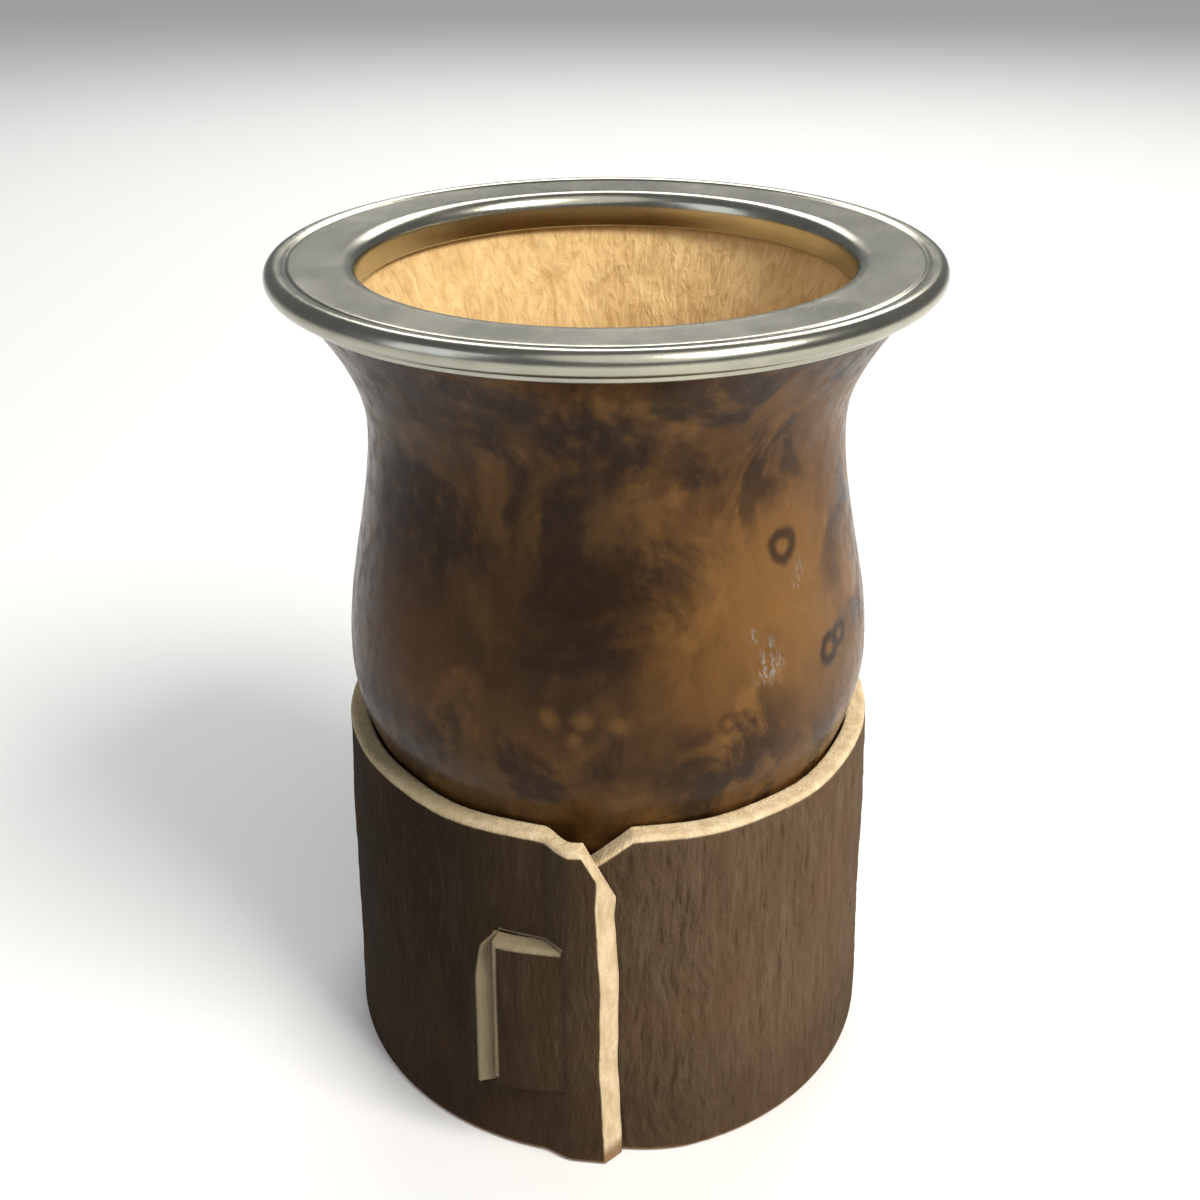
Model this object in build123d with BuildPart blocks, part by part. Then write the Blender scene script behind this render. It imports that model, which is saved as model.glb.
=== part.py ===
from build123d import *
import os
from math import sin, cos, pi, radians

os.makedirs("parts", exist_ok=True)

# Mate gourd: a hollow gourd with a metal rim, standing in a wrapped leather band.
# Millimetres. +Z is up, the origin is on the table under the gourd's axis and the
# lapped ends of the leather band face -Y. Angles run from the front (-Y) to the right (+X).

# ---- overall ----
overall_height = 131.5
rim_radius = 47.3

# ---- metal rim ----
rim_sheet = 1.1
rim_roll_radius = 1.7
rim_bead_radius = 0.75
rim_bore_radius = 34.7
rim_bore_round = 2.2
rim_sleeve_depth = 5.6
rim_dish = 0.35
rim_fit = 0.08

# ---- gourd ----
gourd_bottom_height = 22.0
gourd_widest_radius = 40.5
gourd_widest_height = 70.5
gourd_neck_radius = 35.3
gourd_neck_height = 108.0
gourd_lip_radius = 43.4
gourd_wall = 4.6

# ---- leather band ----
band_height = 60.0
band_leather = 3.0
band_foot_radius = 44.3
band_mouth_radius = 41.7
band_fit = 0.1
lap_gap = 0.12
lap_under_angle = -7.0
lap_over_angle = 2.0
lap_over_lean = 1.1
lap_bevel = 2.9
lap_ramp = 7.0
lap_settle = 24.0
lap_foot_dip = 1.7

# mitred top corners of the two band ends
over_mitre_angle = 6.0
over_mitre_drop = 9.2
under_mitre_angle = 11.5
under_mitre_drop = 6.2

# tab window in the over-lapping end: flap, slit and the tongue behind the flap
window_low = 14.0
window_high = 41.5
slit_angle = -22.6
slit_width = 0.5
hinge_angle = -9.0
lip_root_angle = -32.0
lip_lift = 4.6
flap_lift = 2.7
flap_kerf = 0.35
tongue_tip_angle = -27.0
tongue_inset = 1.5

lip_height = overall_height - rim_sheet - rim_fit


def smooth(t):
    t = min(1.0, max(0.0, t))
    return t * t * (3.0 - 2.0 * t)


def at(angle, radius, height):
    a = radians(angle)
    return (radius * sin(a), -radius * cos(a), height)


def band_bore(height):
    foot = band_foot_radius - band_leather
    mouth = band_mouth_radius - band_leather
    return foot + (mouth - foot) * height / band_height


def dip(angle, height):
    """How far the under-lapping end is pressed inward near the foot."""
    share = 1.0 - height / band_height
    return lap_foot_dip * share * (1.0 - smooth((angle - lap_under_angle) / lap_settle))


def level(angle, height):
    """Offset of the strip's inner face from the band bore, along the whole wrap."""
    if angle < 180.0:
        return -dip(angle, height)
    over = band_leather + lap_gap - dip(angle - 360.0, height)
    start = 360.0 + lap_under_angle - lap_ramp
    return over * smooth((angle - start) / lap_ramp)


def strip_face(height, inner, outer):
    """Flat outline of a length of strip from its inner and outer (angle, radius) points."""
    inner_points = [at(a, r, height) for a, r in inner]
    outer_points = [at(a, r, height) for a, r in reversed(outer)]
    with BuildSketch(Plane.XY.offset(height)) as face:
        with BuildLine():
            Spline(*[(p[0], p[1]) for p in inner_points])
            Line((inner_points[-1][0], inner_points[-1][1]), (outer_points[0][0], outer_points[0][1]))
            Spline(*[(p[0], p[1]) for p in outer_points])
            Line((outer_points[-1][0], outer_points[-1][1]), (inner_points[0][0], inner_points[0][1]))
        make_face()
    return face.sketch


def ring_face(height):
    tip = 360.0 + lap_over_angle - lap_over_lean * height / band_height
    count = 120
    inner = []
    outer = []
    for i in range(count + 1):
        a = lap_under_angle + (tip - lap_under_angle) * i / count
        b = lap_under_angle + (tip - lap_bevel - lap_under_angle) * i / count
        inner.append((a, band_bore(height) + level(a, height)))
        outer.append((b, band_bore(height) + band_leather + level(b, height)))
    return strip_face(height, inner, outer)


def short_face(height, first, last, offset, count=10):
    inner = []
    outer = []
    for i in range(count + 1):
        t = i / count
        a = first + (last - first) * t
        r = band_bore(height) + offset(t, height)
        inner.append((a, r))
        outer.append((a, r + band_leather))
    return strip_face(height, inner, outer)


def layer_block(first, last, low, high, inner_offset, outer_offset):
    """Curved block that follows one layer of the band between two heights."""
    faces = []
    for height in (low, high):
        inner = []
        outer = []
        for i in range(11):
            a = first + (last - first) * i / 10
            inner.append((a, band_bore(height) + inner_offset(a, height)))
            outer.append((a, band_bore(height) + outer_offset(a, height)))
        faces.append(strip_face(height, inner, outer))
    with BuildPart() as block:
        loft(faces, ruled=True)
    return block.part


def mitre_block(layer, high_angle, low_angle, past_angle, drop):
    """The corner to be cut off one band end: a sloping prism limited to that end's own layer."""
    x_high = band_mouth_radius * sin(radians(high_angle))
    x_low = band_mouth_radius * sin(radians(low_angle))
    x_past = band_mouth_radius * sin(radians(past_angle))
    past_drop = drop * (x_past - x_high) / (x_low - x_high)
    with BuildPart() as wedge:
        add(layer)
        with BuildSketch(Plane.XZ.offset(band_mouth_radius / 2)):
            with BuildLine():
                Polyline(
                    (x_high, band_height),
                    (x_past, band_height - past_drop),
                    (x_past, band_height + 5.0),
                    (x_high, band_height + 5.0),
                    close=True,
                )
            make_face()
        extrude(amount=band_mouth_radius, mode=Mode.INTERSECT)
    return wedge.part


# ---- gourd ----
seat_radius = band_mouth_radius - band_leather - band_fit
mouth_radius = rim_bore_radius + rim_sheet + rim_fit
mouth_height = overall_height - rim_sleeve_depth - 0.4
flare_height = lip_height - 3.6


def body_lines(inset, top_radius, top_height, top_tangent):
    """Half outline of the gourd from the foot to the mouth, drawn a wall thickness inside if asked."""
    foot = gourd_bottom_height + inset
    shoulder = foot + (band_height - gourd_bottom_height) * 0.36
    widest = (gourd_widest_radius - inset, gourd_widest_height)
    neck = (gourd_neck_radius - inset, gourd_neck_height)
    Spline(
        (0, foot),
        ((seat_radius - inset) * 0.80, shoulder),
        (seat_radius - inset * 1.05, band_height),
        widest,
        tangents=[(1, 0), (0, 1)],
    )
    Spline(widest, neck, tangents=[(0, 1), (0, 1)])
    Spline(neck, (top_radius, top_height), tangents=[(0, 1), top_tangent])


with BuildPart() as gourd:
    with BuildSketch(Plane.XZ):
        with BuildLine():
            body_lines(0, gourd_lip_radius, flare_height, (0.62, 0.78))
            Line((gourd_lip_radius, flare_height), (gourd_lip_radius, lip_height))
            Line((gourd_lip_radius, lip_height), (mouth_radius, lip_height))
            Line((mouth_radius, lip_height), (mouth_radius, mouth_height))
            body_lines(gourd_wall, mouth_radius, mouth_height, (0.3, 0.95))
            Line((0, gourd_bottom_height + gourd_wall), (0, gourd_bottom_height))
        make_face()
    revolve(axis=Axis.Z)
gourd.part.label = "gourd"
export_step(gourd.part, "parts/gourd.step")

# ---- rim: flange, rolled edge, lower bead and bore sleeve, turned as one piece ----
roll_centre = (rim_radius - rim_roll_radius, overall_height - rim_roll_radius)
skirt_radius = gourd_lip_radius + rim_fit
bead_centre = (
    skirt_radius + rim_bead_radius,
    overall_height - 2 * rim_roll_radius - rim_bead_radius * 0.5,
)
with BuildPart() as rim:
    with BuildSketch(Plane.XZ):
        with BuildLine():
            Line(
                (roll_centre[0], overall_height),
                (rim_bore_radius + rim_bore_round, overall_height - rim_dish),
            )
            RadiusArc(
                (rim_bore_radius + rim_bore_round, overall_height - rim_dish),
                (rim_bore_radius, overall_height - rim_dish - rim_bore_round),
                -rim_bore_round,
            )
            Line(
                (rim_bore_radius, overall_height - rim_dish - rim_bore_round),
                (rim_bore_radius, overall_height - rim_sleeve_depth),
            )
            Line(
                (rim_bore_radius, overall_height - rim_sleeve_depth),
                (rim_bore_radius + rim_sheet, overall_height - rim_sleeve_depth),
            )
            Line(
                (rim_bore_radius + rim_sheet, overall_height - rim_sleeve_depth),
                (rim_bore_radius + rim_sheet, lip_height + rim_fit),
            )
            Line((rim_bore_radius + rim_sheet, lip_height + rim_fit), (skirt_radius, lip_height + rim_fit))
            Line((skirt_radius, lip_height + rim_fit), (skirt_radius, bead_centre[1]))
            Line((skirt_radius, bead_centre[1]), (roll_centre[0], roll_centre[1]))
            Line((roll_centre[0], roll_centre[1]), (roll_centre[0], overall_height))
        make_face()
        with Locations(roll_centre):
            Circle(rim_roll_radius)
        with Locations(bead_centre):
            Circle(rim_bead_radius)
    revolve(axis=Axis.Z)
rim.part.label = "rim"
export_step(rim.part, "parts/rim.step")

# ---- leather band: one strip wrapped past itself at the front ----
def between_layers(angle, height):
    return band_leather - dip(angle, height) + lap_gap / 2


def clear_outside(angle, height):
    return 3 * band_leather


def clear_inside(angle, height):
    return -band_leather


def lip_offset(t, height):
    rise = smooth((window_high - height) / (0.35 * (window_high - window_low)))
    return lip_lift * rise * smooth(t)


def flap_offset(t, height):
    hinge = level(360.0 + hinge_angle, height)
    return flap_lift + (hinge - flap_lift) * smooth(t)


def tongue_offset(t, height):
    root = -dip(lap_under_angle, height)
    return root - (band_leather + lap_gap) * smooth(1.0 - t)


over_layer = layer_block(-12.0, 12.0, 0.6 * band_height, band_height + 2.0, between_layers, clear_outside)
under_layer = layer_block(-12.0, 12.0, 0.6 * band_height, band_height + 2.0, clear_inside, between_layers)
lip_levels = [window_low + (window_high - window_low) * i / 5 for i in range(6)]
lip_edge = slit_angle - slit_width / 2
flap_edge = slit_angle + slit_width / 2
flap_low = window_low + flap_kerf
flap_high = window_high - flap_kerf
tongue_low = window_low + tongue_inset
tongue_high = window_high - tongue_inset
with BuildPart() as leather_band:
    loft([ring_face(0), ring_face(band_height)], ruled=True)
    over_top = lap_over_angle - lap_over_lean - over_mitre_angle
    over_foot = lap_over_angle - lap_over_lean
    add(mitre_block(over_layer, over_top, over_foot, 8.0, over_mitre_drop), mode=Mode.SUBTRACT)
    under_top = lap_under_angle + under_mitre_angle
    add(mitre_block(under_layer, under_top, lap_under_angle, -9.0, under_mitre_drop), mode=Mode.SUBTRACT)
    add(
        layer_block(lip_root_angle, hinge_angle, window_low, window_high, clear_inside, clear_outside),
        mode=Mode.SUBTRACT,
    )
    loft([short_face(z, lip_root_angle - 0.3, lip_edge, lip_offset) for z in lip_levels])
    loft([short_face(z, flap_edge, hinge_angle + 0.3, flap_offset) for z in (flap_low, flap_high)], ruled=True)
    loft(
        [short_face(z, tongue_tip_angle, lap_under_angle + 0.3, tongue_offset) for z in (tongue_low, tongue_high)],
        ruled=True,
    )
leather_band.part.label = "leather_band"
export_step(leather_band.part, "parts/leather_band.step")
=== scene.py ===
import math

import bmesh
import bpy
import numpy as np
from mathutils import Matrix, Vector, noise

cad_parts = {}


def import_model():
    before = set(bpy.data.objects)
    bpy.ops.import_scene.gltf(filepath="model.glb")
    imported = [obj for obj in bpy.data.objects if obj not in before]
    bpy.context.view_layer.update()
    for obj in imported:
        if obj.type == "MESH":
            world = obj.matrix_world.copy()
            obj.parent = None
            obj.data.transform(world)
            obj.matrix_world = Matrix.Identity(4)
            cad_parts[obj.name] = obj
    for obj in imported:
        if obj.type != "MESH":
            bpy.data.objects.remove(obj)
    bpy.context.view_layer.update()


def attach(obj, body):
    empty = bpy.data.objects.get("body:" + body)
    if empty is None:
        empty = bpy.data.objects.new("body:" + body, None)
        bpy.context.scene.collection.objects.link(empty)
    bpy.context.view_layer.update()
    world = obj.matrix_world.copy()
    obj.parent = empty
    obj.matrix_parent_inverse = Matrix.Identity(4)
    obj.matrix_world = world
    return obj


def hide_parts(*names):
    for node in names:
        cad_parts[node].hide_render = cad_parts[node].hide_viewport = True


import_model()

# ------------------------------------------------------------------ sizes in mm and degrees, as in the frame
MM = 0.001
TOTAL = 131.5

# Rim: a sheet ring with a rolled edge, a bead under the roll and a sleeve down the bore.
RIM_R = 47.3
SHEET = 1.1
ROLL = 1.7
BEAD = 0.75
BORE = 34.7
BORE_ROUND = 2.2
SLEEVE = 5.6
RIM_DISH = 0.35
RIM_FIT = 0.08
RIM_SEGMENTS = 384
GROOVE = ((3.25, 0.24), (3.05, 0.42), (2.85, 0.38), (2.65, 0.16), (2.3, 0.05))  # (in from the edge, depth)

# Leather band: one strip that runs right round and laps over its own end.
BAND_H = 60.0
HIDE = 3.0
FOOT_R = 44.3
MOUTH_R = 41.7
BAND_FIT = 0.1
LAP_GAP = 0.12
UNDER_A = -7.0
OVER_A = 2.0
OVER_LEAN = 1.1
BEVEL_A = 2.9
RAMP_A = 7.0
SETTLE_A = 24.0
DIP = 1.7
OVER_MITRE_A, OVER_MITRE_H = 6.0, 9.2
UNDER_MITRE_A, UNDER_MITRE_H = 11.5, 6.2
WIN_LOW, WIN_HIGH = 14.0, 41.5
SLIT_A, HINGE_A, ROOT_A = -22.6, -9.0, -32.0
LIP_LIFT, FLAP_LIFT = 4.6, 2.7
LIP_SHARE = 0.8  # of LIP_LIFT, reached at the slit
SLIT_BEVEL = 2.6
TONGUE_TIP, TONGUE_RAMP, TONGUE_INSET = -27.0, 20.0, 1.5
EDGE_ROUND, EDGE_DROP = 0.9, 0.62
HIDE_MID_R = 43.0
ARC = math.pi / 180 * HIDE_MID_R  # mm along the strip in one degree

# Gourd: a belly, a neck and a lip that flares out under the rim.
GOURD_BOTTOM = 22.0
WIDEST_R, WIDEST_Z = 40.5, 70.5
NECK_R, NECK_Z = 35.3, 108.0
GOURD_WALL = 4.6
LIP_R = 43.4
LIP_TOP = TOTAL - SHEET - RIM_FIT
LIP_ROUND, LIP_EDGE = 0.3, 3.6
SEAT_R = MOUTH_R - HIDE - BAND_FIT
SEAT_Z, SEAT_CLEAR = 56.0, 0.05
RELIEF_TOP = 122.0
GOURD_SEGMENTS = 320
BOWL_ROWS, WAIST_ROWS, FLARE_ROWS = 70, 110, 60


# ------------------------------------------------------------------ helpers
def smooth(t):
    t = np.clip(t, 0.0, 1.0)
    return t * t * (3.0 - 2.0 * t)


def noise3(points, scale, octaves, seed):
    """Fractal noise at each point; scale is the number of features per mm along each axis."""
    out = np.empty(len(points))
    shift = Vector((seed * 17.3, seed * 5.1, seed * 9.7))
    for i, p in enumerate(points):
        v = Vector((p[0] * scale[0], p[1] * scale[1], p[2] * scale[2])) + shift
        out[i] = noise.fractal(v, 0.7, 2.1, octaves, noise_basis="PERLIN_ORIGINAL")
    return out


def add_mesh(name, verts, faces, attributes):
    mesh = bpy.data.meshes.new(name)
    mesh.from_pydata([tuple(v) for v in verts], [], [tuple(int(i) for i in f) for f in faces])
    mesh.update()
    mesh.polygons.foreach_set("use_smooth", [True] * len(mesh.polygons))
    for key, values in attributes.items():
        layer = mesh.attributes.new(key, "FLOAT", "POINT")
        layer.data.foreach_set("value", np.asarray(values, dtype=np.float32))
    obj = bpy.data.objects.new(name, mesh)
    bpy.context.scene.collection.objects.link(obj)
    return obj


def clean(obj, weld):
    """Turn every face outward and join the points that lie within weld metres of each other."""
    bm = bmesh.new()
    bm.from_mesh(obj.data)
    if weld:
        bmesh.ops.remove_doubles(bm, verts=bm.verts, dist=weld)
    bmesh.ops.recalc_face_normals(bm, faces=bm.faces)
    bm.to_mesh(obj.data)
    bm.free()


def hermite(p0, p1, t0, t1, count):
    """Points of a smooth curve from p0 to p1 that leaves along t0 and arrives along t1."""
    t = np.linspace(0, 1, count)[:, None]
    p0, p1, t0, t1 = (np.asarray(v, float) for v in (p0, p1, t0, t1))
    h = np.linalg.norm(p1 - p0)
    t0 = t0 / np.linalg.norm(t0) * h
    t1 = t1 / np.linalg.norm(t1) * h
    return (
        (2 * t**3 - 3 * t**2 + 1) * p0
        + (t**3 - 2 * t**2 + t) * t0
        + (-2 * t**3 + 3 * t**2) * p1
        + (t**3 - t**2) * t1
    )


def arc(cx, cy, r, a0, a1, count):
    a = np.radians(np.linspace(a0, a1, count))
    return np.stack([cx + r * np.cos(a), cy + r * np.sin(a)], 1)


def around(r, angle, z):
    """Points at a radius, an angle in radians from the front and a height."""
    return np.stack([r * np.sin(angle), -r * np.cos(angle), z], -1)


def turn(name, profile, segments, attributes, shape=None, closed=False):
    """Turned mesh from a profile of (radius, height) in mm; shape may move its points."""
    n = len(profile)
    angle = np.linspace(0, 2 * math.pi, segments, endpoint=False)[None, :]
    z = np.broadcast_to(profile[:, 1][:, None], (n, segments))
    points = around(profile[:, 0][:, None], angle, z).reshape(-1, 3)
    if shape:
        points = shape(points)
    faces = []
    for i in range(n if closed else n - 1):
        a = i * segments
        b = (i + 1) % n * segments
        for j in range(segments):
            k = (j + 1) % segments
            faces.append((a + j, a + k, b + k, b + j))
    attributes = {key: np.repeat(values, segments) for key, values in attributes.items()}
    return add_mesh(name, points * MM, faces, attributes)


# ------------------------------------------------------------------ gourd
def body_profile(inset, top, tangent):
    """Half profile from the bottom of the gourd up to top, moved in by inset."""
    low = (0.01, GOURD_BOTTOM + inset)
    wide = (WIDEST_R - inset, WIDEST_Z)
    neck = (NECK_R - inset, NECK_Z)
    bowl = hermite(low, wide, (1, 0), (0, 1), BOWL_ROWS)
    inside_band = np.where(bowl[:, 1] < BAND_H, SEAT_R - inset - SEAT_CLEAR, np.inf)
    bowl[:, 0] = np.minimum(bowl[:, 0], inside_band)
    waist = hermite(wide, neck, (0, 1), (0, 1), WAIST_ROWS)
    flare = hermite(neck, top, (0, 1), tangent, FLARE_ROWS)
    return np.vstack([bowl, waist[1:], flare[1:]])


outer = body_profile(0.0, (LIP_R, LIP_TOP - LIP_EDGE), (0.62, 0.78))
height = outer[:, 1]
climb = np.clip((height - BAND_H) / (WIDEST_Z - BAND_H), -0.6, 1)
swell = SEAT_R + (WIDEST_R - SEAT_R) * np.sin(climb * math.pi / 2)
outer[:, 0] = np.where((height > SEAT_Z) & (height < WIDEST_Z), swell, outer[:, 0])
sleeve_r = BORE + SHEET
inner = body_profile(GOURD_WALL, (sleeve_r + RIM_FIT, TOTAL - SLEEVE - 0.4), (0.3, 0.95))
lip = np.array([
    [LIP_R, LIP_TOP - LIP_ROUND],
    [LIP_R - LIP_ROUND, LIP_TOP],
    [sleeve_r + 0.1 + LIP_ROUND, LIP_TOP],
    [sleeve_r + 0.1, LIP_TOP - LIP_ROUND],
])
gourd_profile = np.vstack([outer, lip, inner[::-1]])
inside = np.concatenate([np.zeros(len(outer) + 2), np.ones(2 + len(inner))])


def gourd_shape(pts):
    """Uneven skin of a grown gourd outside, rough fibres inside."""
    out = pts.copy()
    r = np.hypot(pts[:, 0], pts[:, 1]) + 1e-6
    z = pts[:, 2]
    big = noise3(pts, (0.028, 0.028, 0.02), 2, 1.0)
    middle = noise3(pts, (0.11, 0.11, 0.07), 3, 2.0)
    fibre = noise3(pts, (0.35, 0.35, 0.10), 4, 5.0)
    clear_of_pieces = smooth((z - 62) / 8) * smooth((RELIEF_TOP - z) / 8)
    move_out = (0.38 * big + 0.07 * middle) * clear_of_pieces
    move_in = (0.55 * big + 0.30 * middle + 0.16 * fibre) * smooth((RELIEF_TOP - z) / 6)
    move = np.where(np.repeat(inside, GOURD_SEGMENTS) > 0.5, move_in, move_out)
    out[:, 0] += pts[:, 0] / r * move
    out[:, 1] += pts[:, 1] / r * move
    return out


gourd = turn("gourd_shell", gourd_profile, GOURD_SEGMENTS, {"inside": inside}, gourd_shape)
clean(gourd, 1e-6)

# ------------------------------------------------------------------ rim
skirt = LIP_R + RIM_FIT
bead_r, bead_z = skirt + BEAD, TOTAL - 2 * ROLL - BEAD / 2
dish_z = TOTAL - RIM_DISH
plate = np.stack([
    np.linspace(BORE + BORE_ROUND + 0.5, RIM_R - 3.6, 10),
    np.linspace(dish_z - 0.01, TOTAL - 0.22, 10),
], 1)
rim_profile = np.vstack([
    [[sleeve_r, TOTAL - SLEEVE], [BORE + 0.25, TOTAL - SLEEVE], [BORE, TOTAL - SLEEVE + 0.3]],
    arc(BORE + BORE_ROUND, dish_z - BORE_ROUND, BORE_ROUND, 180, 90, 12),
    plate,
    [[RIM_R - inward, TOTAL - depth] for inward, depth in GROOVE],
    arc(RIM_R - ROLL, TOTAL - ROLL, ROLL, 95, -62, 26),
    [[bead_r + 1.05, bead_z + 0.78]],
    arc(bead_r + 0.1, bead_z, BEAD, 40, -100, 12),
    [[skirt, bead_z - 0.4], [skirt, LIP_TOP + RIM_FIT], [sleeve_r, LIP_TOP + RIM_FIT]],
])
rim = turn("metal_rim", rim_profile, RIM_SEGMENTS, {}, closed=True)
clean(rim, None)

# ------------------------------------------------------------------ leather band
# Angles along the strip, from the end that lies under, at UNDER_A, right round to the end that lies over.
ROOT_S, SLIT_S, HINGE_S, OVER_S = (360 + a for a in (ROOT_A, SLIT_A, HINGE_A, OVER_A))


def bore_at(z):
    return (FOOT_R - HIDE) + (MOUTH_R - FOOT_R) * z / BAND_H


def dip(a, z):
    """How far the end that lies under is pressed in, most at the foot."""
    return DIP * (1 - z / BAND_H) * (1 - smooth((a - UNDER_A) / SETTLE_A))


def level(a, z):
    """Height of the strip's inner face above the bore."""
    over = HIDE + LAP_GAP - dip(a - 360.0, z)
    rise = over * smooth((a - (360.0 + UNDER_A - RAMP_A)) / RAMP_A)
    return np.where(a < 180.0, -dip(a, z), rise)


def flap_level(a, z):
    hinge = level(np.full_like(a, HINGE_S), z)
    return FLAP_LIFT + (hinge - FLAP_LIFT) * smooth((a - SLIT_S) / (HINGE_A - SLIT_A))


def lip_level(a, z):
    up = smooth((WIN_HIGH + 1.0 - z) / 9.0) * np.where(z < WIN_LOW, 0.0, 1.0)
    return LIP_LIFT * LIP_SHARE * up * smooth((a - ROOT_S) / (SLIT_A - ROOT_A))


def top_over(a):
    start = OVER_S - OVER_LEAN - OVER_MITRE_A
    return BAND_H - OVER_MITRE_H * np.clip((a - start) / OVER_MITRE_A, 0, 1.1)


def top_under(a):
    start = UNDER_A + UNDER_MITRE_A
    return BAND_H - UNDER_MITRE_H * np.clip((start - a) / UNDER_MITRE_A, 0, 1)


# Grid lines of the strip, closer together beside each cut edge.
EDGE_STEPS = (0.12, 0.3, 0.55, EDGE_ROUND)
DEG = 1.0 / ARC


def spaced(a, b, step):
    return list(np.linspace(a, b, max(2, int(round((b - a) / step)) + 1)))[:-1]


def after(edge, unit=1.0):
    return [edge] + [edge + d * unit for d in EDGE_STEPS]


def before(edge, unit=1.0):
    return [edge - d * unit for d in reversed(EDGE_STEPS)]


s_lines = after(UNDER_A, DEG)
s_lines += spaced(UNDER_A + 1.3 * DEG, 60, 0.42) + spaced(60, 300, 0.9) + spaced(300, ROOT_S, 0.45)
s_lines += spaced(ROOT_S, SLIT_S - 1.2 * DEG, 0.4) + before(SLIT_S, DEG)
i_slit = len(s_lines)
s_lines += after(SLIT_S, DEG) + spaced(SLIT_S + 1.3 * DEG, HINGE_S, 0.35)
i_hinge = len(s_lines)
s_lines += spaced(HINGE_S, OVER_S - 1.4 * DEG, 0.3) + before(OVER_S, DEG) + [OVER_S]
S = np.array(s_lines)

z_lines = after(0) + spaced(1.3, WIN_LOW - 1.2, 0.4) + before(WIN_LOW)
j_low = len(z_lines)
z_lines += after(WIN_LOW) + spaced(WIN_LOW + 1.3, WIN_HIGH - 1.2, 0.4) + before(WIN_HIGH)
j_high = len(z_lines)
z_lines += after(WIN_HIGH) + spaced(WIN_HIGH + 1.3, BAND_H - 1.2, 0.4) + before(BAND_H) + [BAND_H]
Z = np.array(z_lines)

FAR = 99.0  # mm, for points that an edge doesn't touch
TINY = 1e-6


def strip_points(outer_side, region):
    """Points of one face of the strip, how far each is from a cut edge, and its angle and height.

    The region is "main" for the strip without its window or "flap" for the flap that hangs in it.
    """
    s0, z0 = np.meshgrid(S, Z, indexing="ij")
    before_slit = s0 <= SLIT_S + TINY

    # the end that lies over leans, waves a little and is bevelled
    wave = 0.22 * np.sin(z0 * 0.21 + 0.6) + 0.07 * np.sin(z0 * 0.57)
    end = OVER_S - OVER_LEAN * z0 / BAND_H + wave - (BEVEL_A if outer_side else 0.0)
    share = (s0 - HINGE_S) / (OVER_A - HINGE_A)
    s = np.where(s0 > HINGE_S, HINGE_S + (end - HINGE_S) * share, s0)
    if outer_side and region == "main":
        reach = smooth((s0 - ROOT_S) / (SLIT_A - ROOT_A)) * before_slit
        tall = smooth((z0 - WIN_LOW + 1.2) / 1.2) * smooth((WIN_HIGH - z0) / 3.0)
        s = s - SLIT_BEVEL * reach * tall

    # the top edge is cut by hand, with a mitre at both ends
    top = np.where(s > 180, top_over(s), top_under(s))
    top = top + 0.25 * np.sin(np.radians(s) * 5.0 + 1.0) + 0.14 * np.sin(np.radians(s) * 13.0) - 0.39
    stretched = WIN_HIGH + (top - WIN_HIGH) * (z0 - WIN_HIGH) / (BAND_H - WIN_HIGH)
    z = np.where(z0 > WIN_HIGH, stretched, z0)

    if region == "flap":
        lift = flap_level(s, z)
    else:
        lift = level(s, z)
        lip_zone = (s0 > ROOT_S) & before_slit & (z0 >= WIN_LOW - TINY) & (z0 <= WIN_HIGH)
        lift = np.where(lip_zone, np.maximum(lift, lip_level(s, z)), lift)
    r = bore_at(z) + lift + (HIDE if outer_side else 0.0)

    edges = [z, top - z, (s0 - S[0]) * ARC, (S[-1] - s0) * ARC]
    if region == "flap":
        edges += [np.abs(s0 - SLIT_S) * ARC, z0 - WIN_LOW, WIN_HIGH - z0]
    else:
        beside = (z0 >= WIN_LOW - TINY) & (z0 <= WIN_HIGH + TINY) & before_slit
        across = (s0 >= SLIT_S - TINY) & (s0 <= HINGE_S)
        edges += [np.where(beside, (SLIT_S - s0) * ARC, FAR)]
        edges += [np.where(across & (z0 <= WIN_LOW + TINY), WIN_LOW - z0, FAR)]
        edges += [np.where(across & (z0 >= WIN_HIGH - TINY), z0 - WIN_HIGH, FAR)]
    from_edge = np.minimum.reduce([np.maximum(e, 0) for e in edges])
    quarter = 1 - (1 - np.clip(from_edge / EDGE_ROUND, 0, 1)) ** 2
    rounding = EDGE_DROP * (1 - np.sqrt(np.clip(quarter, 0, 1)))
    r = r - rounding if outer_side else r + rounding * 0.4
    return around(r, np.radians(s), z), from_edge, s, z


def relief(s, z, from_edge):
    """Folds and grain of the hide, as movement along the radius in mm, strongest beside the lap."""
    angle = np.where(s > 180, s - 360, s).reshape(-1)
    u = angle * ARC
    still = np.zeros_like(u)
    flat = np.stack([u, still, z.reshape(-1)], 1)
    warp = noise3(flat, (0.05, 1, 0.07), 2, 3.0)
    warped = np.stack([u + 2.2 * warp, still, z.reshape(-1)], 1)
    fold = noise3(warped, (0.62, 1, 0.075), 3, 4.0)
    fine = noise3(warped, (1.5, 1, 0.22), 3, 6.0)
    soft = noise3(flat, (0.07, 1, 0.05), 2, 8.0)
    strong = 0.16 + 0.84 * np.exp(-((u - 7.0) / 9.0) ** 2) + 0.30 * smooth((u - 4) / 6)
    strong = np.where(angle > 100, 0.35, strong)
    creases = 0.2 - np.abs(fold) * 0.85
    out = strong * (0.62 * creases + 0.16 * fine) + 0.22 * soft + 0.05 * fine
    return out.reshape(s.shape) * smooth((from_edge - 0.5) / 2.2)


def grow(pts, amount):
    """Points moved away from the middle axis by amount."""
    r = np.hypot(pts[..., 0], pts[..., 1])[..., None] + 1e-9
    n = np.concatenate([pts[..., :2] / r, np.zeros_like(r)], -1)
    return pts + n * amount[..., None]


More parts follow.
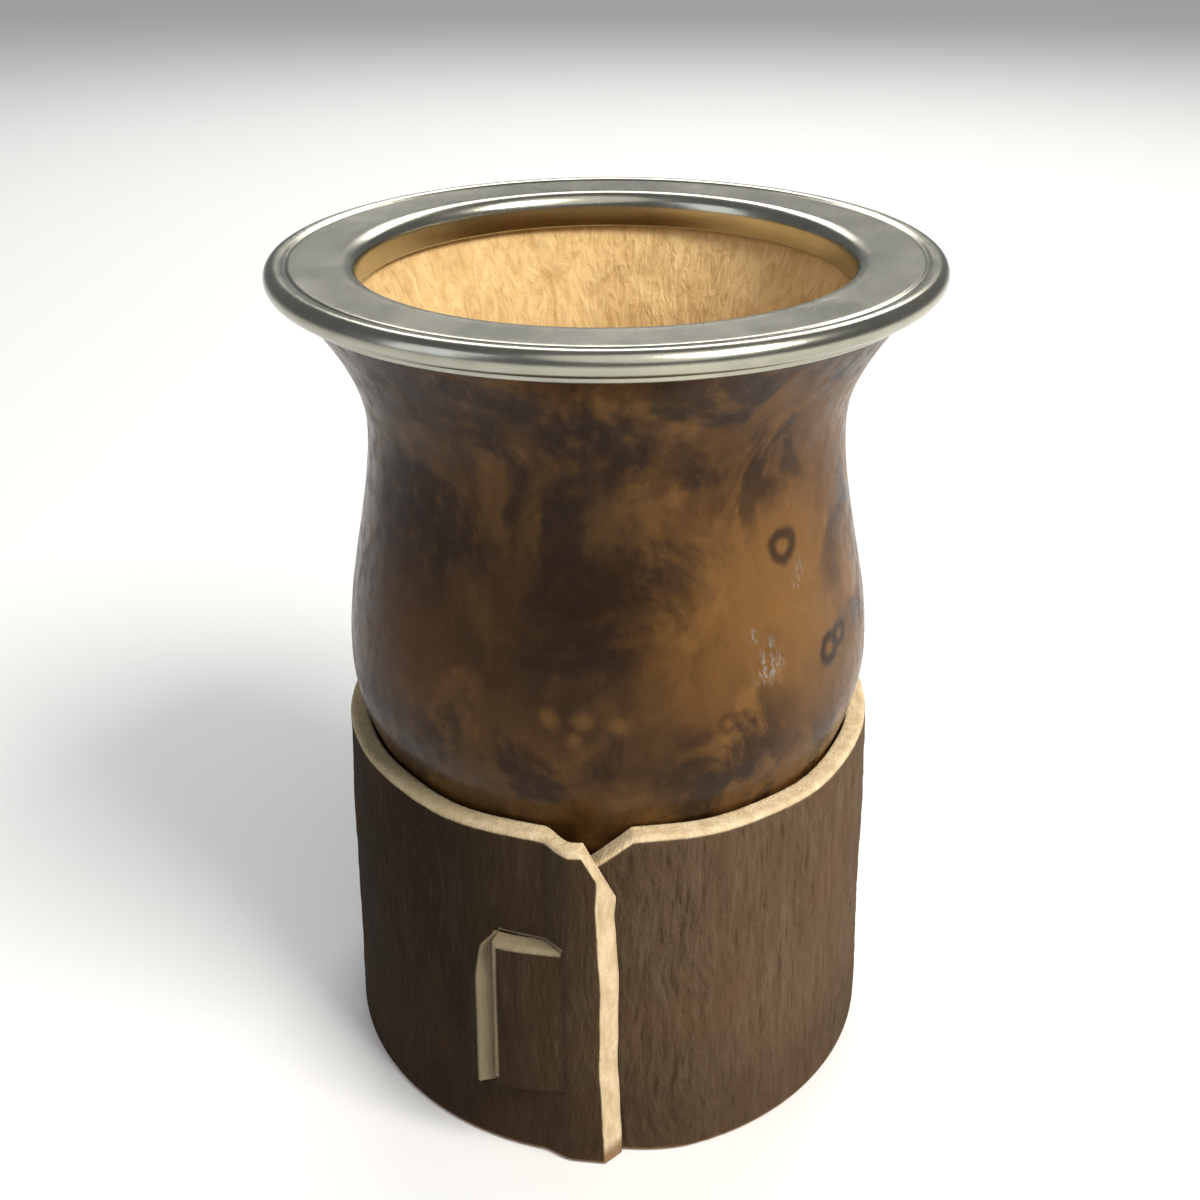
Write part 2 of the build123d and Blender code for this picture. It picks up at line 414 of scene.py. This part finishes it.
def cut_share(from_edge):
    """How much of the pale cut leather shows: all at an edge, none 1.35 mm from it."""
    return 1.0 - smooth((from_edge - 0.15) / 1.2)


class HideMesh:
    """Points, faces and the pale-cut value of each point, gathered face by face."""

    def __init__(self):
        self.verts, self.faces, self.cut = [], [], []

    def grid(self, pts, cut, outward, hole=None):
        """Add a grid of points and its quads but for those in hole; returns the points' numbers."""
        ids = len(self.verts) + np.arange(cut.size).reshape(cut.shape)
        self.verts += list(pts.reshape(-1, 3))
        self.cut += list(cut.reshape(-1))
        for i in range(cut.shape[0] - 1):
            for j in range(cut.shape[1] - 1):
                if hole and i in hole[0] and j in hole[1]:
                    continue
                a, b, c, d = ids[i, j], ids[i + 1, j], ids[i + 1, j + 1], ids[i, j + 1]
                self.faces.append((a, b, c, d) if outward else (a, d, c, b))
        return ids

    def wall(self, outer_ids, inner_ids):
        """Raw cut face between an outer and an inner line of points, with its own middle rows."""
        rows = [outer_ids]
        for t in (0.2, 0.5, 0.8):
            row = []
            for a, b in zip(outer_ids, inner_ids):
                row.append(len(self.verts))
                self.verts.append(np.asarray(self.verts[a]) * (1 - t) + np.asarray(self.verts[b]) * t)
                self.cut.append(1.0)
            rows.append(row)
        rows.append(inner_ids)
        for ra, rb in zip(rows[:-1], rows[1:]):
            for k in range(len(ra) - 1):
                self.faces.append((ra[k], ra[k + 1], rb[k + 1], rb[k]))


band = HideMesh()
window = np.s_[i_slit:i_hinge + 1, j_low:j_high + 1]
hole = (range(i_slit, i_hinge), range(j_low, j_high))
main_out, main_edge, main_s, main_z = strip_points(True, "main")
main_in = strip_points(False, "main")[0]
flap_out, flap_edge, _, flap_z = strip_points(True, "flap")
flap_in = strip_points(False, "flap")[0]
folds = relief(main_s, main_z, main_edge)
main_out = grow(main_out, folds)
flap_out = grow(flap_out, folds * smooth(flap_edge / 1.4))
flap_out[i_hinge, :] = main_out[i_hinge, :]
flap_in[i_hinge, :] = main_in[i_hinge, :]

# painted shadow: the cut edge below the flap and the flap's own lower edge are made brown, not pale, for the
# shadow the flap casts
main_cut = cut_share(main_edge)
flap_painted_shadow = (main_s > SLIT_S - 0.6) & (main_s < HINGE_S + 1)
main_cut[flap_painted_shadow & (main_z > WIN_LOW - 2) & (main_z <= WIN_LOW + 0.01)] = 0.0
flap_cut = cut_share(flap_edge)
flap_cut[flap_z < WIN_LOW + 2] *= 0.15

main_out_ids = band.grid(main_out, main_cut, True, hole)
main_in_ids = band.grid(main_in, np.ones(main_s.shape), False, hole)
flap_out_ids = band.grid(flap_out[window], flap_cut[window], True)
flap_in_ids = band.grid(flap_in[window], np.ones(flap_cut[window].shape), False)
ends_and_rims = [np.s_[:, 0], np.s_[:, -1], np.s_[0, :], np.s_[-1, :]]
window_edges = [
    np.s_[i_slit, j_low:j_high + 1],
    np.s_[i_slit:i_hinge + 1, j_low],
    np.s_[i_slit:i_hinge + 1, j_high],
]
for line in ends_and_rims + window_edges:
    band.wall(main_out_ids[line], main_in_ids[line])
for line in (np.s_[0, :], np.s_[:, 0], np.s_[:, -1]):
    band.wall(flap_out_ids[line], flap_in_ids[line])

# tongue of the end that lies under, behind the flap
TONGUE_LINES = 40
tongue_a, tongue_z = np.meshgrid(
    np.linspace(TONGUE_TIP, UNDER_A + 0.6, TONGUE_LINES),
    np.linspace(WIN_LOW + TONGUE_INSET, WIN_HIGH - TONGUE_INSET, TONGUE_LINES),
    indexing="ij",
)
sunk = (HIDE + LAP_GAP) * smooth(1 - (tongue_a - TONGUE_TIP) / TONGUE_RAMP)
tongue_r = bore_at(tongue_z) - dip(np.full_like(tongue_a, UNDER_A), tongue_z) - sunk
tongue_out = around(tongue_r + HIDE, np.radians(tongue_a), tongue_z)
tongue_in = around(tongue_r, np.radians(tongue_a), tongue_z)
tongue_out_ids = band.grid(tongue_out, np.zeros(tongue_a.shape), True)
tongue_in_ids = band.grid(tongue_in, np.ones(tongue_a.shape), False)
for line in (np.s_[0, :], np.s_[-1, :], np.s_[:, 0], np.s_[:, -1]):
    band.wall(tongue_out_ids[line], tongue_in_ids[line])

leather = add_mesh("leather_band_hide", np.array(band.verts) * MM, band.faces, {"cut": band.cut})
clean(leather, 2e-6)


# ------------------------------------------------------------------ materials
class Mat:
    """A Principled material whose textures are noise in the object's own metres."""

    def __init__(self, name):
        self.m = bpy.data.materials.new(name)
        self.m.use_nodes = True
        self.t = self.m.node_tree
        self.t.nodes.clear()
        out = self.t.nodes.new("ShaderNodeOutputMaterial")
        self.p = self.t.nodes.new("ShaderNodeBsdfPrincipled")
        self.link(self.p.outputs[0], out.inputs[0])
        self.pos = self.t.nodes.new("ShaderNodeTexCoord").outputs["Object"]

    def node(self, kind, **props):
        n = self.t.nodes.new(kind)
        for k, v in props.items():
            setattr(n, k, v)
        return n

    def link(self, a, b):
        self.t.links.new(a, b)

    def feed(self, socket, value):
        """Give a socket a number, a colour or the output of another node."""
        if isinstance(value, (int, float)):
            socket.default_value = value
        elif isinstance(value, tuple):
            socket.default_value = (*value, 1)
        else:
            self.link(value, socket)

    def shade(self, **sockets):
        """Feed the shader's own sockets, named with _ for a space."""
        for name, value in sockets.items():
            self.feed(self.p.inputs[name.replace("_", " ")], value)

    def axes(self):
        n = self.node("ShaderNodeSeparateXYZ")
        self.link(self.pos, n.inputs[0])
        return n.outputs

    def scaled(self, scale, location=(0, 0, 0), vector=None):
        n = self.node("ShaderNodeMapping")
        n.inputs["Scale"].default_value = scale
        n.inputs["Location"].default_value = location
        self.link(vector or self.pos, n.inputs["Vector"])
        return n.outputs[0]

    def noise(self, scale, detail, rough, distortion=0.0, loc=(0, 0, 0), vector=None, output="Fac"):
        n = self.node("ShaderNodeTexNoise")
        n.inputs["Scale"].default_value = 1.0
        n.inputs["Detail"].default_value = detail
        n.inputs["Roughness"].default_value = rough
        n.inputs["Distortion"].default_value = distortion
        self.link(self.scaled(scale, loc, vector), n.inputs["Vector"])
        return n.outputs[output]

    def ramp(self, fac, stops):
        n = self.node("ShaderNodeValToRGB")
        elements = n.color_ramp.elements
        while len(elements) < len(stops):
            elements.new(0.5)
        for element, (position, colour) in zip(elements, stops):
            element.position = position
            element.color = (*colour, 1)
        self.link(fac, n.inputs[0])
        return n.outputs[0]

    def mix(self, fac, a, b):
        n = self.node("ShaderNodeMix", data_type="RGBA")
        for socket, value in ((n.inputs[0], fac), (n.inputs[6], a), (n.inputs[7], b)):
            self.feed(socket, value)
        return n.outputs[2]

    def mix_value(self, fac, a, b):
        n = self.node("ShaderNodeMix", data_type="FLOAT")
        for socket, value in ((n.inputs[0], fac), (n.inputs[2], a), (n.inputs[3], b)):
            self.feed(socket, value)
        return n.outputs[0]

    def math(self, op, a, b, clamp=False):
        n = self.node("ShaderNodeMath", operation=op, use_clamp=clamp)
        for socket, value in zip(n.inputs, (a, b)):
            self.feed(socket, value)
        return n.outputs[0]

    def times(self, a, b):
        return self.math("MULTIPLY", a, b)

    def plus(self, a, b):
        return self.math("ADD", a, b)

    def layer(self, under, mask, amount, over):
        """A colour laid over another where the mask is, as strongly as amount."""
        return self.mix(self.times(mask, amount), under, over)

    def attribute(self, name):
        return self.node("ShaderNodeAttribute", attribute_name=name).outputs["Fac"]

    def range(self, value, a, b):
        """Smooth step from 0 where value is a to 1 where it is b."""
        n = self.node("ShaderNodeMapRange", interpolation_type="SMOOTHSTEP")
        self.link(value, n.inputs[0])
        n.inputs["From Min"].default_value = a
        n.inputs["From Max"].default_value = b
        return n.outputs[0]

    def bump(self, height, strength, distance, normal=None):
        n = self.node("ShaderNodeBump")
        n.inputs["Strength"].default_value = strength
        n.inputs["Distance"].default_value = distance
        self.link(height, n.inputs["Height"])
        if normal is not None:
            self.link(normal, n.inputs["Normal"])
        return n.outputs[0]

    def warped(self, wobble, amount):
        """Position pushed about by a noise colour; amount in metres."""
        centred = self.node("ShaderNodeVectorMath", operation="SUBTRACT")
        self.link(wobble, centred.inputs[0])
        centred.inputs[1].default_value = (0.5, 0.5, 0.5)
        pushed = self.node("ShaderNodeVectorMath", operation="SCALE")
        self.link(centred.outputs[0], pushed.inputs[0])
        pushed.inputs["Scale"].default_value = amount
        total = self.node("ShaderNodeVectorMath", operation="ADD")
        self.link(self.pos, total.inputs[0])
        self.link(pushed.outputs[0], total.inputs[1])
        return total.outputs[0]

    def spot(self, centre, radius, soft, vector):
        """1 inside a round spot of that radius in mm, fading over soft."""
        n = self.node("ShaderNodeVectorMath", operation="DISTANCE")
        self.link(vector, n.inputs[0])
        n.inputs[1].default_value = centre
        return self.range(n.outputs["Value"], radius * MM + soft * MM, radius * MM - soft * MM)


BELLY_ROW = 60  # from this row up, the outer profile only rises


def on_gourd(azimuth, z):
    a = math.radians(azimuth)
    r = float(np.interp(z, outer[BELLY_ROW:, 1], outer[BELLY_ROW:, 0]))
    return (r * math.sin(a) * MM, -r * math.cos(a) * MM, z * MM)


# Lacquered gourd: painted shade makes it dark at the left and amber at the right, with clouds, rings, flecks
# and scuffs.
# Each place is (degrees from the front, height in mm), then a radius in mm.
PATCHES = (  # softness, colour, strength
    (-5, 100, 10, 6, (0.014, 0.007, 0.003), 0.55),
    (-8, 86, 11, 7, (0.013, 0.006, 0.003), 0.65),
    (6, 74, 8, 5, (0.014, 0.007, 0.003), 0.60),
    (-30, 92, 11, 8, (0.022, 0.011, 0.004), 0.45),
    (36, 92, 11, 8, (0.200, 0.098, 0.026), 0.6),
    (50, 80, 10, 7, (0.190, 0.092, 0.026), 0.55),
    (14, 82, 7, 5, (0.130, 0.060, 0.014), 0.45),
    (-48, 84, 10, 8, (0.085, 0.034, 0.008), 0.5),
    (44, 100, 6, 4, (0.170, 0.082, 0.022), 0.45),
    (175, 92, 14, 8, (0.017, 0.008, 0.003), 0.6),
    (140, 84, 11, 8, (0.150, 0.058, 0.012), 0.55),
    (215, 80, 12, 8, (0.140, 0.052, 0.011), 0.5),
    (250, 100, 10, 7, (0.018, 0.009, 0.004), 0.55),
)
RINGS = (  # strength
    (40, 98, 2.7, 0.85), (53, 80, 2.5, 0.95), (58, 81, 2.0, 0.9), (24, 76, 1.6, 0.5), (-14, 70, 2.3, 0.45),
    (160, 88, 2.6, 0.8), (230, 96, 2.4, 0.7), (110, 78, 2.2, 0.8), (-70, 98, 2.2, 0.6),
)
FLECKS = ((-11, 78, 1.3), (-4.5, 78, 1.4), (2, 77.5, 1.2), (-7, 75, 0.9), (16, 88, 1.0))
SCUFFS = ((29, 88.5, 1.0, 0.7), (43, 93.5, 1.1, 0.8), (33, 83, 2.6, 1.4))  # softness

g = Mat("lacquered_gourd")
wobble = g.noise((140, 140, 120), 4.0, 0.5, output="Color")
loose = g.warped(wobble, 0.009)
tight = g.warped(wobble, 0.0030)
large = g.noise((42, 42, 34), 3.0, 0.5, 0.4, (3.1, 1.7, 0.4))
blot = g.noise((105, 105, 85), 5.0, 0.6, 0.6, (0.3, 4.2, 2.2))
smoke = g.noise((70, 70, 60), 6.0, 0.62, 0.5, (7.7, 2.2, 1.0))
fine = g.noise((520, 520, 380), 4.0, 0.6, 0.0, (1.0, 2.0, 0.0))
streak = g.noise((300, 300, 50), 4.0, 0.55, 0.3, (0.0, 1.0, 5.0))
# painted shade: the skin darkens towards the left, away from the light, and the amber blots fade there
painted_light_toward_right = g.range(g.axes()["X"], -0.036, 0.030)
skin = g.mix(painted_light_toward_right, (0.024, 0.011, 0.0025), (0.100, 0.045, 0.012))
blot_amount = g.plus(0.25, g.times(painted_light_toward_right, 0.75))
skin = g.layer(skin, g.range(blot, 0.44, 0.66), blot_amount, (0.170, 0.082, 0.022))
skin = g.layer(skin, g.range(large, 0.42, 0.60), 0.30, (0.110, 0.052, 0.014))
skin = g.layer(skin, g.range(smoke, 0.47, 0.60), 0.85, (0.016, 0.0075, 0.0035))
skin = g.layer(skin, g.range(streak, 0.45, 0.75), 0.30, (0.030, 0.013, 0.005))
skin = g.layer(skin, g.range(fine, 0.5, 0.8), 0.22, (0.210, 0.095, 0.022))
for azimuth, z, radius, soft, colour, strength in PATCHES:
    skin = g.layer(skin, g.spot(on_gourd(azimuth, z), radius, soft, loose), strength, colour)
for azimuth, z, radius, strength in RINGS:
    centre = on_gourd(azimuth, z)
    disc, hollow = g.spot(centre, radius, 0.6, tight), g.spot(centre, radius * 0.42, 0.5, tight)
    skin = g.layer(skin, g.math("SUBTRACT", disc, hollow, clamp=True), strength, (0.022, 0.010, 0.005))
for azimuth, z, radius in FLECKS:
    skin = g.layer(skin, g.spot(on_gourd(azimuth, z), radius, 0.8, tight), 0.32, (0.200, 0.100, 0.026))
scuffed = 0.0
for azimuth, z, radius, soft in SCUFFS:
    scuffed = g.math("MAXIMUM", g.spot(on_gourd(azimuth, z), radius, soft, loose), scuffed)
scratches = g.range(g.noise((1500, 1500, 600), 4.0, 0.65, 0.8, (2.0, 0.0, 1.0)), 0.50, 0.58)
scuff = g.times(scuffed, scratches)
skin = g.layer(skin, scuff, 0.8, (0.22, 0.21, 0.19))

# dry pale flesh inside the gourd
flesh = g.noise((420, 420, 90), 5.0, 0.6, 1.6, (0, 3, 0))
stain = g.noise((60, 60, 45), 4.0, 0.55, 1.5, (5, 0, 2))
fibres = g.noise((900, 900, 260), 4.0, 0.6, 0.6, (1, 0, 2))
tan = g.ramp(flesh, [(0.28, (0.52, 0.33, 0.13)), (0.50, (0.68, 0.47, 0.22)), (0.72, (0.76, 0.56, 0.29))])
tan = g.layer(tan, g.range(stain, 0.54, 0.74), 0.35, (0.36, 0.205, 0.075))
tan = g.layer(tan, g.range(fibres, 0.55, 0.75), 0.35, (0.30, 0.17, 0.06))

inside_mask = g.attribute("inside")
patchy = g.range(g.noise((420, 420, 300), 5.0, 0.6), 0.4, 0.7)
lacquer_rough = g.math("MAXIMUM", g.plus(0.24, g.times(patchy, 0.20)), g.times(scuff, 0.7))
pores = g.plus(g.noise((2600, 2600, 1500), 3.0, 0.6), g.times(blot, 2.0))
skin_bump = g.bump(pores, 0.10, 0.0004)
flesh_bump = g.bump(g.times(g.plus(flesh, fibres), inside_mask), 0.55, 0.0008, skin_bump)
g.shade(
    Base_Color=g.mix(inside_mask, skin, tan),
    Roughness=g.mix_value(inside_mask, lacquer_rough, 0.9),
    Specular_IOR_Level=0.07,
    Coat_Weight=g.times(g.math("SUBTRACT", 1.0, inside_mask, clamp=True), 0.10),
    Coat_Roughness=0.10,
    Normal=flesh_bump,
)
gourd.data.materials.append(g.m)

# Nickel silver: warm grey metal with faint turning lines round the axis and small dull spots.
m = Mat("nickel_silver")
tone = m.noise((60, 60, 60), 4.0, 0.6, 0.4)
metal = m.ramp(tone, [(0.35, (0.36, 0.355, 0.29)), (0.55, (0.44, 0.43, 0.355)), (0.75, (0.50, 0.46, 0.34))])
flattened = m.node("ShaderNodeVectorMath", operation="MULTIPLY")
m.link(m.pos, flattened.inputs[0])
flattened.inputs[1].default_value = (1, 1, 0)
distance = m.node("ShaderNodeVectorMath", operation="LENGTH")
m.link(flattened.outputs[0], distance.inputs[0])
from_axis = m.node("ShaderNodeCombineXYZ")
m.link(distance.outputs["Value"], from_axis.inputs[0])
turning = m.noise((9000, 1, 1), 3.0, 0.7, vector=from_axis.outputs[0])
spots = m.range(m.noise((2400, 2400, 2400), 2.0, 0.5), 0.70, 0.80)
polish = m.plus(0.17, m.times(m.noise((90, 90, 90), 5.0, 0.6), 0.12))
dents = m.plus(m.times(turning, 0.5), m.noise((700, 700, 700), 3.0, 0.6))
m.shade(
    Base_Color=metal,
    Metallic=1.0,
    Roughness=m.plus(polish, m.times(spots, 0.2)),
    Normal=m.bump(dents, 0.06, 0.0003),
)
rim.data.materials.append(m.m)

# Thick hide: brown, with painted shade making it darker to the left, with upright fibres; pale where it is
# cut.
h = Mat("thick_hide")
X, _, Z_UP = h.axes()
fibre_fine = h.noise((1300, 1300, 160), 5.0, 0.65, 0.5)
fibre_wide = h.noise((420, 420, 60), 4.0, 0.6, 0.6, (3, 1, 0))
cloud = h.noise((55, 55, 45), 4.0, 0.55, 0.3, (1, 5, 2))
# painted shade: the hide and its fibre and cloud tones have a shaded copy at the left and a lit copy at the
# right
painted_light_toward_right = h.range(X, -0.030, 0.034)
past_lap = h.range(X, -0.002, 0.004)
wide_tone = h.mix(painted_light_toward_right, (0.034, 0.022, 0.013), (0.150, 0.102, 0.062))
fine_tone = h.mix(painted_light_toward_right, (0.055, 0.036, 0.022), (0.200, 0.140, 0.088))
cloud_tone = h.mix(painted_light_toward_right, (0.040, 0.020, 0.008), (0.130, 0.066, 0.030))
brown = h.mix(painted_light_toward_right, (0.018, 0.0100, 0.0042), (0.110, 0.070, 0.038))
brown = h.layer(brown, past_lap, 0.35, (0.098, 0.062, 0.036))
brown = h.layer(brown, h.range(fibre_wide, 0.42, 0.65), 0.45, wide_tone)
brown = h.layer(brown, h.range(fibre_fine, 0.50, 0.72), 0.40, fine_tone)
brown = h.layer(brown, h.range(fibre_fine, 0.48, 0.30), 0.55, (0.030, 0.017, 0.010))
brown = h.layer(brown, h.range(cloud, 0.52, 0.68), 0.35, cloud_tone)
brown = h.layer(brown, h.range(Z_UP, 0.024, 0.006), 0.35, (0.036, 0.018, 0.009))

# cut edges: cream, with painted shade making them duller at the left and on the lifted flap and slit, and
# duller near the floor
cream_noise = h.noise((600, 600, 240), 5.0, 0.6)
creams = [(0.3, (0.50, 0.37, 0.21)), (0.55, (0.66, 0.52, 0.33)), (0.8, (0.76, 0.64, 0.44))]
cream = h.ramp(cream_noise, creams)
# painted shade on the cut edges at the left, away from the light
cream = h.layer(cream, h.range(X, 0.000, -0.030), 0.7, (0.26, 0.215, 0.125))
# painted shade on the slit's cut edge and the flap's top edge
flap_slit_painted_shade = h.times(h.range(X, -0.0030, -0.0042), h.range(Z_UP, 0.0445, 0.0425))
cream = h.layer(cream, flap_slit_painted_shade, 0.8, (0.165, 0.135, 0.085))
cream = h.layer(cream, h.range(Z_UP, 0.0045, 0.0015), 0.85, (0.20, 0.10, 0.045))
ragged = h.times(h.math("SUBTRACT", h.noise((700, 700, 500), 4.0, 0.6), 0.5), 0.28)
cut = h.range(h.plus(h.attribute("cut"), ragged), 0.30, 0.80)

grain = h.node("ShaderNodeTexVoronoi", feature="DISTANCE_TO_EDGE")
grain.inputs["Scale"].default_value = 1.0
h.link(h.scaled((1500, 1500, 520)), grain.inputs["Vector"])
cells = h.times(h.math("MINIMUM", grain.outputs["Distance"], 0.25), 2.0)
h.shade(
    Base_Color=h.mix(cut, brown, cream),
    Roughness=h.plus(0.62, h.times(fibre_wide, 0.25)),
    Specular_IOR_Level=0.05,
    Normal=h.bump(h.plus(cells, h.times(fibre_fine, 1.6)), 0.5, 0.00035),
)
leather.data.materials.append(h.m)

pieces = ((gourd, "gourd", "gourd"), (rim, "rim", "rim"), (leather, "leather_band", "leather"))
for obj, node, slot in pieces:
    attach(obj, "root")
    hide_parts(node)

# ------------------------------------------------------------------ stage, in metres
FLOOR_HALF = 12.0
FLOOR_DROP = 0.0001
corners = [(x * FLOOR_HALF, y * FLOOR_HALF, 0) for x, y in ((-1, -1), (1, -1), (1, 1), (-1, 1))]
floor_mesh = bpy.data.meshes.new("floor")
floor_mesh.from_pydata(corners, [], [(0, 1, 2, 3)])
floor = bpy.data.objects.new("floor", floor_mesh)
floor.location.z = -FLOOR_DROP
bpy.context.scene.collection.objects.link(floor)
floor_material = bpy.data.materials.new("floor")
floor_material.use_nodes = True
floor_shader = floor_material.node_tree.nodes["Principled BSDF"]
floor_shader.inputs["Base Color"].default_value = (0.80, 0.80, 0.80, 1)
floor_shader.inputs["Roughness"].default_value = 0.8
floor_mesh.materials.append(floor_material)

# ------------------------------------------------------------------ light
world = bpy.data.worlds.new("studio")
bpy.context.scene.world = world
world.use_nodes = True
background = world.node_tree.nodes["Background"]
background.inputs[0].default_value = (0.90, 0.93, 1.0, 1)
background.inputs[1].default_value = 0.20


def area(name, location, target, size, power, color):
    light = bpy.data.lights.new(name, "AREA")
    light.shape = "RECTANGLE"
    light.size, light.size_y = size
    light.energy = power
    light.color = color
    obj = bpy.data.objects.new(name, light)
    obj.location = location
    aim = Vector(target) - Vector(location)
    obj.rotation_euler = aim.to_track_quat("-Z", "Y").to_euler()
    bpy.context.scene.collection.objects.link(obj)


sun = bpy.data.lights.new("wide_sun", "SUN")
sun.energy = 0.9
sun.angle = 1.2
sun.color = (1.0, 0.98, 0.95)
sun_obj = bpy.data.objects.new("wide_sun", sun)
sun_obj.rotation_euler = (math.radians(38), 0, math.radians(28))
bpy.context.scene.collection.objects.link(sun_obj)
area("key", (0.45, -0.35, 0.75), (0, 0, 0.07), (0.35, 0.35), 9.0, (1.0, 0.96, 0.88))
area("fill", (-0.8, -0.5, 0.5), (0, 0, 0.07), (0.5, 0.8), 1.8, (0.86, 0.92, 1.0))
area("back", (0.1, 0.9, 0.8), (0, 0, 0.08), (0.9, 0.4), 7.0, (1.0, 0.98, 0.94))

# ------------------------------------------------------------------ camera, in metres and degrees
CAMERA_LEFT, CAMERA_BACK, CAMERA_UP = 0.00115, 0.197984, 0.1817
CAMERA_PITCH, CAMERA_ROLL = math.radians(28.29), math.radians(0.4)
ahead = Vector((0, math.cos(CAMERA_PITCH), -math.sin(CAMERA_PITCH)))
level_right = Vector((1, 0, 0))
level_down = ahead.cross(level_right)
right = math.cos(CAMERA_ROLL) * level_right + math.sin(CAMERA_ROLL) * level_down
down = -math.sin(CAMERA_ROLL) * level_right + math.cos(CAMERA_ROLL) * level_down
camera_data = bpy.data.cameras.new("camera")
camera_data.sensor_width = 36.0
camera_data.lens = 42.42
camera_data.clip_start = 0.01
camera = bpy.data.objects.new("camera", camera_data)
turned = Matrix((right, -down, -ahead)).transposed()
camera.matrix_world = Matrix.Translation((-CAMERA_LEFT, -CAMERA_BACK, CAMERA_UP)) @ turned.to_4x4()
bpy.context.scene.collection.objects.link(camera)
bpy.context.scene.camera = camera
bpy.context.scene.view_settings.view_transform = "Standard"
